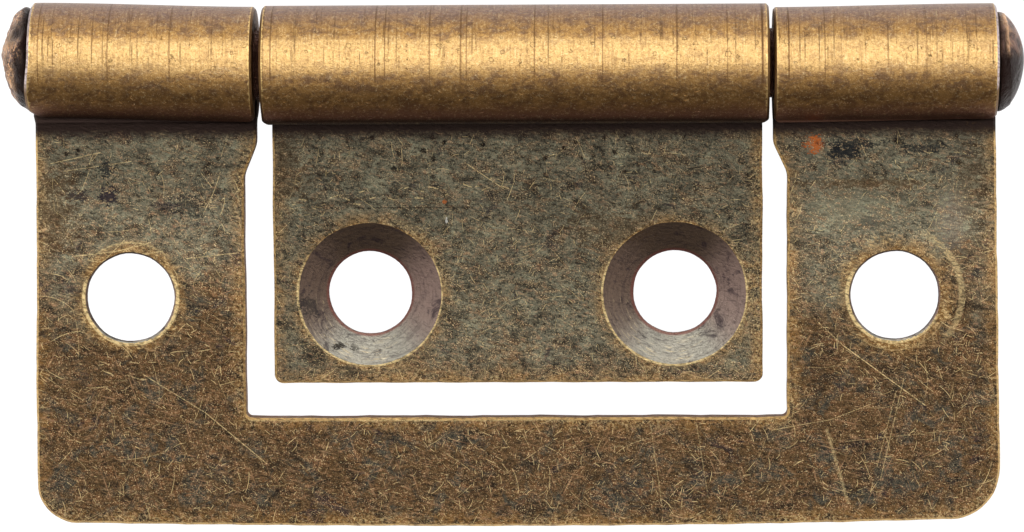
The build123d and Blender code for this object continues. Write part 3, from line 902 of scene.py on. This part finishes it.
def pin_surface(material):
    """The pin as one surface of turning: x = X(s) and radius R(s) along a profile of two domed
    heads and the shank, swept by the angle a, with waves of a few angles and lengths on the heads.
    """
    left_base, right_base = -BARREL_END - 0.1, BARREL_END + 0.1
    left_radius, left_height, left_rim = 2.68, 1.45, 0.12
    right_radius, right_height, right_rim = 2.58, 1.36, 0.08
    shank_radius = 1.8
    middle = 0.12
    around, dome_rows = 96, 40

    def dome(base, outwards, radius, height, rim):
        turns = np.linspace(0, math.pi / 2, dome_rows)
        return [
            (base + outwards * (rim + (height - rim) * math.cos(turn) ** 1.25), radius * math.sin(turn))
            for turn in turns
        ]

    profile = dome(left_base, -1, left_radius, left_height, left_rim)
    profile += [(left_base - 0.5 * left_rim, left_radius), (left_base, 0.97 * left_radius), (left_base, shank_radius)]
    profile += [(x, shank_radius) for x in np.linspace(left_base + 0.2, right_base - 0.2, 60)]
    profile += [(right_base, shank_radius), (right_base, 0.98 * right_radius)]
    profile += [(right_base + 0.5 * right_rim, right_radius)]
    profile += dome(right_base, 1, right_radius, right_height, right_rim)[::-1]
    profile = np.array(profile)
    angle = np.linspace(0, 2 * math.pi, around, endpoint=False)
    along, turn = np.meshgrid(np.arange(len(profile)), angle, indexing="ij")
    x = profile[along, 0]
    radius = profile[along, 1]
    y = radius * np.cos(turn)
    z = radius * np.sin(turn)

    on_left = smooth(left_base + 0.05, left_base - 0.3, x)
    on_right = smooth(right_base - 0.05, right_base + 0.3, x)
    lump = 0.05 * np.sin(2.3 * y + 1.1) * np.sin(1.9 * z + 0.4) + 0.04 * np.sin(3.1 * y - 3.7 * z + 2.0)
    lump += 0.03 * np.sin(6.3 * z + 3.1 * y) + 0.02 * np.sin(9.1 * y - 5.3 * z + 1.2)
    pit = np.exp(-(((y - 1.35) / 0.55) ** 2) - ((z - 1.6) / 0.75) ** 2)
    ridge = np.exp(-(((z - 1.5 + 0.2 * y) / 0.3) ** 2)) * np.maximum(
        np.exp(-(((y - 0.9) / 0.9) ** 2)), np.exp(-(((y + 1.3) / 0.6) ** 2))
    )
    x -= on_left * (lump - 0.35 * pit + 0.12 * ridge)
    crest = np.exp(-(((np.hypot(y - 0.12, z) - 2.38) / 0.06) ** 2))
    x += on_right * (0.03 * np.sin(1.7 * y + 0.5) * np.sin(2.2 * z) + 0.05 * crest)
    swell = 1 + on_left * 0.012 * np.sin(3 * turn + 0.6) + on_right * 0.008 * np.sin(4 * turn)
    y = y * swell + barrel_shift(x) * smooth(13.6, 16.0, np.abs(x)) + on_left * 0.16
    z = z * swell
    points = np.stack([x + middle, y + AXIS_Y, z + AXIS_Z], axis=-1).reshape(-1, 3)

    rows = len(profile)
    index = np.arange(rows * around).reshape(rows, around)
    beside = np.roll(index, -1, axis=1)
    faces = np.stack([index[:-1], index[1:], beside[1:], beside[:-1]], axis=-1).reshape(-1, 4)
    mesh = bpy.data.meshes.new("hammered_pin")
    mesh.from_pydata((points * MM).tolist(), [], faces.tolist())
    mesh.shade_smooth()
    carry(mesh, "ridge", on_left * ridge + on_right * crest)
    carry(mesh, "hollow", on_left * pit)
    mesh.materials.append(material)
    pin = bpy.data.objects.new("hammered_pin", mesh)
    scene.collection.objects.link(pin)
    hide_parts("hinge_pin")
    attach(pin, "outer")
    return pin


add_camera()
add_floor()
add_world()
add_lamps()

aged_brass = brass_group(hairline_group(), barrel_group())
groups = (stroke_group(), aged_brass)
OUTER_STROKES = (
    ((17.3, -4.2), (21.5, -7.3), 0.045, 0.95),
    ((15.9, -2.9), (17.3, -4.2), 0.03, 0.6),
    ((-19.3, -5.6), (-16.1, -7.6), 0.04, 0.7),
    ((-16.1, -7.6), (-12.9, -10.3), 0.04, 0.8),
    ((9.6, -8.2), (10.2, -12.1), 0.03, 0.5),
    ((7.2, -8.3), (7.8, -12.6), 0.03, 0.5),
    ((16.4, -8.6), (17.5, -12.4), 0.14, 0.35),
    ((20.4, -5.9), (19.2, -11.2), 0.04, 0.5),
    ((20.0, -6.6), (19.0, -10.6), 0.03, 0.5),
    ((-24.0, 5.5), (-21.4, 6.07), 0.035, 0.7),
    ((-23.3, 5.1), (-19.8, 5.6), 0.03, 0.6),
    ((-22.0, 5.1), (-22.4, 4.1), 0.03, 0.6),
    ((-22.4, 4.1), (-23.0, 3.6), 0.04, 0.8),
    ((-22.8, 0.65), (-20.6, 0.9), 0.045, 0.8),
    ((-20.6, 0.9), (-18.85, 1.35), 0.04, 0.8),
    ((-17.0, 0.5), (-14.25, 0.8), 0.035, 0.8),
    ((-21.4, 0.3), (-20.1, 1.6), 0.04, 0.8),
    ((-20.9, 0.5), (-18.2, 0.9), 0.05, 0.8),
    ((13.5, -8.6), (16.6, -8.05), 0.03, 0.6),
    ((16.6, -8.05), (18.8, -7.2), 0.03, 0.6),
    ((17.4, -9.2), (24.2, -8.5), 0.025, 0.5),
    # These two wide strokes along the cut-out's lower edge are a painted highlight, the softbox's reflection on its
    # rounded edge.
    ((-13.7, -7.95), (-3.0, -7.98), 0.17, 1.0),
    ((-3.0, -7.98), (13.9, -7.86), 0.17, 1.0),
)
OUTER_RINGS = (
    ((19.9, -1.5), 3.5, 0.22, (1.0, 0.2, 0.5), 0.45),
    ((19.9, -1.5), 2.45, 0.15, (-0.5, -0.85, -0.2), 1.0),
    ((19.9, -1.5), 2.9, 0.05, (0.2, -1.0, 0.4), 0.3),
    ((-19.925, -1.54), 2.45, 0.15, (0.1, -1.0, -0.6), 1.0),
    ((-19.925, -1.54), 2.9, 0.06, (0.0, 1.0, 0.6), 0.6),
)
OUTER_GROOVES = (
    (-24.3, 0.05, 0.6), (-20.7, 0.06, 0.6), (-17.5, 0.05, 0.6),
    (14.35, 0.06, 0.9), (16.2, 0.05, 0.6), (21.4, 0.05, 0.5),
)
INNER_GROOVES = (
    (-12.7, 0.07, 0.7), (-12.3, 0.06, 0.7), (-6.9, 0.06, 0.8), (-6.4, 0.05, 0.7),
    (-4.1, 0.06, 0.6), (-2.5, 0.07, 0.7), (-2.2, 0.05, 0.6), (1.3, 0.06, 0.6),
    (4.8, 0.05, 0.7), (8.6, 0.06, 0.6), (11.2, 0.05, 0.5), (13.0, 0.09, 0.9),
)
OUTER_SPOTS = (
    ((15.8, 6.35), (0.5, 0.5), RUST, 1.0),
    ((17.2, 5.9), (0.9, 0.35), INK_STAIN, 0.9),
    ((17.6, 6.35), (1.6, 0.3), INK_STAIN, 0.8),
    ((21.3, 6.1), (1.3, 0.25), INK_STAIN, 0.7),
    ((18.6, 2.4), (0.6, 0.5), PLUM_STAIN, 0.6),
    ((22.9, 2.4), (0.9, 1.6), SHEEN_GREY, 0.35),
    ((17.8, 2.9), (2.2, 0.9), PALE_GREEN, 0.4),
    ((18.5, 4.3), (3.6, 0.25), OLIVE_PATINA, 0.5),
    ((23.9, 4.0), (0.9, 2.6), OLIVE_PATINA, 0.3),
    ((-21.1, 5.2), (0.4, 0.5), INK_STAIN, 0.8),
    ((-22.8, 3.8), (0.9, 0.4), PLUM_STAIN, 0.8),
    ((-21.0, 3.8), (0.5, 0.5), PLUM_STAIN, 0.9),
    ((-23.8, 3.0), (1.2, 2.4), OLIVE_PATINA, 0.5),
    ((-16.8, 3.2), (0.9, 0.7), INK_STAIN, 0.5),
)


def dash(step):
    """A rubbed dash of a wavering row, numbered from the left, as its two ends, width and depth."""
    x = -11.4 + 0.62 * step + 0.3 * math.sin(5.1 * step)
    y = 3.3 + 0.06 * step + 0.3 * math.sin(2.3 * step)
    length = 0.12 + 0.3 * math.sin(1.7 * step) ** 2
    return (x, y), (x + length, y + 0.4 * length * math.sin(3.1 * x)), 0.055, 0.7


INNER_STROKES = (((-2.3, 5.4), (-0.4, 4.1), 0.035, 0.8), *(dash(step) for step in range(19)))
INNER_RINGS = (
    ((-7.425, -1.39), 3.75, 0.1, (0.0, -1.0, -0.6), 1.0),
    ((8.475, -1.39), 3.75, 0.1, (0.0, -1.0, -0.6), 1.0),
)
INNER_SPOTS = (
    ((-3.5, 3.45), (0.12, 0.1), RUST, 0.8),
    ((-6.0, 3.13), (6.4, 0.03), DARK_PATINA_AND_SHADE, 0.7),
    ((-3.38, 2.5), (0.05, 0.2), LINT, 0.8),
    ((-10.4, -2.0), (0.9, 0.55), INK_STAIN, 0.6),
    ((-9.05, -4.15), (0.34, 0.2), DARK_PATINA_AND_SHADE, 0.9),
    ((-8.25, -4.2), (0.2, 0.34), DARK_PATINA_AND_SHADE, 0.7),
    ((-11.6, 5.0), (1.0, 1.6), OLIVE_PATINA, 0.3),
    ((5.0, 2.0), (2.5, 1.0), OLIVE_PATINA, 0.3),
)
OUTER_HOLES = (((-19.925, -1.54), 2.3, 0.8), ((19.925, -1.54), 2.3, 1.1))
INNER_HOLES = (((-7.425, -1.39), 3.7, 0.15), ((8.475, -1.39), 3.7, 0.15))
# lip: the tone of the painted light and shade on a curl's underside.
OUTER_AMOUNTS = {
    "scratch": 1.0, "grit": 0.65, "relief": 3.4, "dust": 0.5, "green": 11.5, "lip": CURL_SHADE,
    "bright_from": 6.5, "bright_to": 3.5, "bright": 1.46, "fade_from": 1.5, "fade_to": -2.5, "fade": 1.3,
}
INNER_AMOUNTS = {
    "scratch": 0.85, "grit": 0.8, "relief": 4.6, "dust": 0.5, "green": 17.0, "lip": DARK_PATINA_AND_SHADE,
    "bright_from": 5.5, "bright_to": -6.0, "bright": 1.45, "fade_from": -8.0, "fade_to": -9.0, "fade": 1.0,
}
outer_brass = leaf_material(
    "outer_leaf_patina", groups, 1.0, OUTER_AMOUNTS, OUTER_HOLES, OUTER_STROKES, OUTER_RINGS, OUTER_GROOVES, OUTER_SPOTS
)
inner_brass = leaf_material(
    "inner_leaf_patina", groups, 3.0, INNER_AMOUNTS, INNER_HOLES, INNER_STROKES, INNER_RINGS, INNER_GROOVES, INNER_SPOTS
)
dress_leaf("outer_leaf", "outer", outer_brass, OUTER_HOLES, 0.4, True)
dress_leaf("inner_leaf", "inner", inner_brass, INNER_HOLES, 2.2, False)
pin_surface(pin_material(aged_brass))
